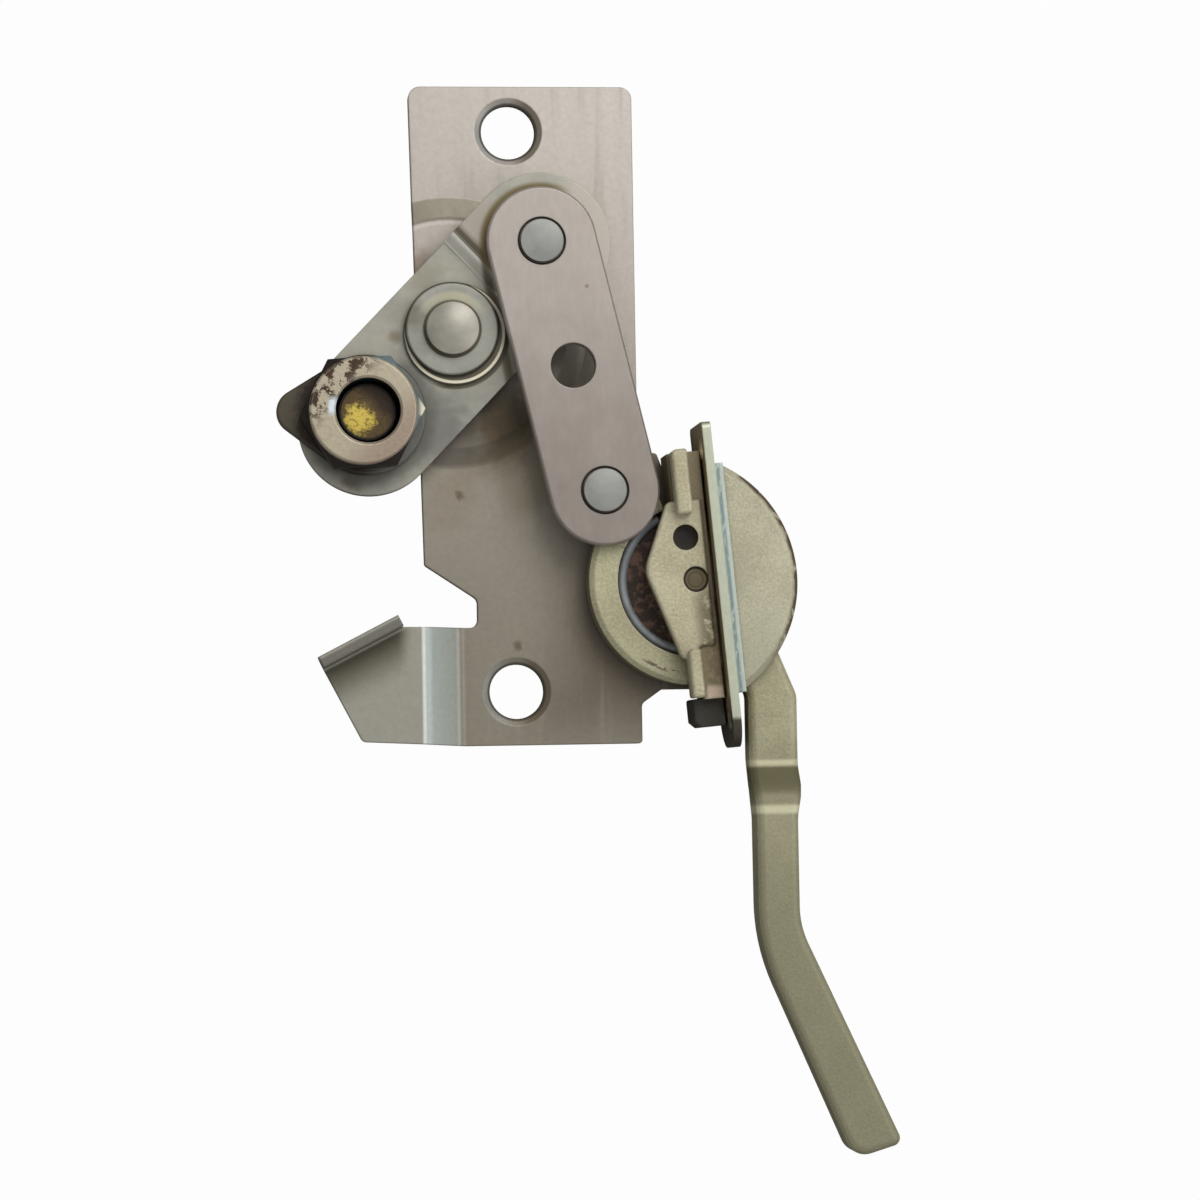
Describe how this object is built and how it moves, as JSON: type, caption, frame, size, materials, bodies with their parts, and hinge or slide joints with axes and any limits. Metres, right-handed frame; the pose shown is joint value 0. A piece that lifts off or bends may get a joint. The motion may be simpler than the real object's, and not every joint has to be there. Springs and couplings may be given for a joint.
{
  "type": "casement window lock",
  "caption": "Casement window lock: a base plate carries a pivoted crank with an eccentric adjuster, joined by a link to a swinging lever handle behind a face plate.",
  "frame": {"origin": "midway between the two fixing holes of the base plate, on its flat back", "axes": "+Z out of the plate's front, towards the mechanism; +Y along the line of the fixing holes, away from the lever's tip; +X towards the face plate and lever"},
  "size_m": [0.0899, 0.1598, 0.0138],
  "materials": {
    "plate_steel": "satin, warm grey",
    "crank_steel": "satin sheet",
    "link_steel": "satin sheet",
    "rivet_steel": "bare, domed",
    "washer_zinc": "zinc plated",
    "dark_steel": "dull, greasy",
    "stud_brass": "dirty yellow brass",
    "sleeve_zinc": "worn zinc with grease",
    "cast_paint": "fine textured olive champagne coat",
    "spring_wire": "blued wire",
    "pin_steel": "dull",
    "face_zinc": "zinc plated, pale edge",
    "collar_zinc": "bluish zinc strip"
  },
  "bodies": {
    "root": {"base_plate": "plate_steel", "pivot_rivet": "rivet_steel", "pivot_spacer": "washer_zinc", "wide_washer": "washer_zinc", "small_washer": "washer_zinc", "handle_pin": "pin_steel", "front_washer": "washer_zinc", "back_washer": "washer_zinc", "lock_housing": "cast_paint", "housing_rivets": "rivet_steel", "face_plate": "face_zinc", "face_rivet_upper": "rivet_steel", "face_rivet_lower": "rivet_steel", "slot_collar": "collar_zinc", "shroud": "cast_paint"},
    "handle": {"handle_lever": "cast_paint", "spring_ring": "spring_wire"},
    "link": {"link_bar": "link_steel", "link_rivet_upper": "rivet_steel", "link_rivet_lower": "rivet_steel"},
    "crank": {"crank_arm": "crank_steel", "cam_plate": "dark_steel", "adjuster_stud": "stud_brass"},
    "adjuster": {"hex_sleeve": "sleeve_zinc"}
  },
  "joints": [
    {"name": "handle_turn", "type": "hinge", "parent": "root", "child": "handle", "pos_m": [0.026, -0.026, 0.005], "axis": [0, 0, 1], "range_deg": [0, 60]},
    {"name": "link_swing", "type": "hinge", "parent": "handle", "child": "link", "pos_m": [0.01271, -0.01271, 0.008], "axis": [0, 0, 1], "range_deg": [-74.3, 0.1]},
    {"name": "crank_swing", "type": "hinge", "parent": "root", "child": "crank", "pos_m": [-0.0092, 0.0117, 0.004], "axis": [0, 0, 1], "range_deg": [-58.3, 0.1]},
    {"name": "adjuster_turn", "type": "hinge", "parent": "crank", "child": "adjuster", "pos_m": [-0.02211, -0.00094, 0.008], "axis": [0, 0, 1], "continuous": true}
  ],
  "couplings": [
    {"joint": "link_swing", "follows": "handle_turn", "ratio": -1.2363},
    {"joint": "crank_swing", "follows": "handle_turn", "ratio": -0.97066}
  ]
}
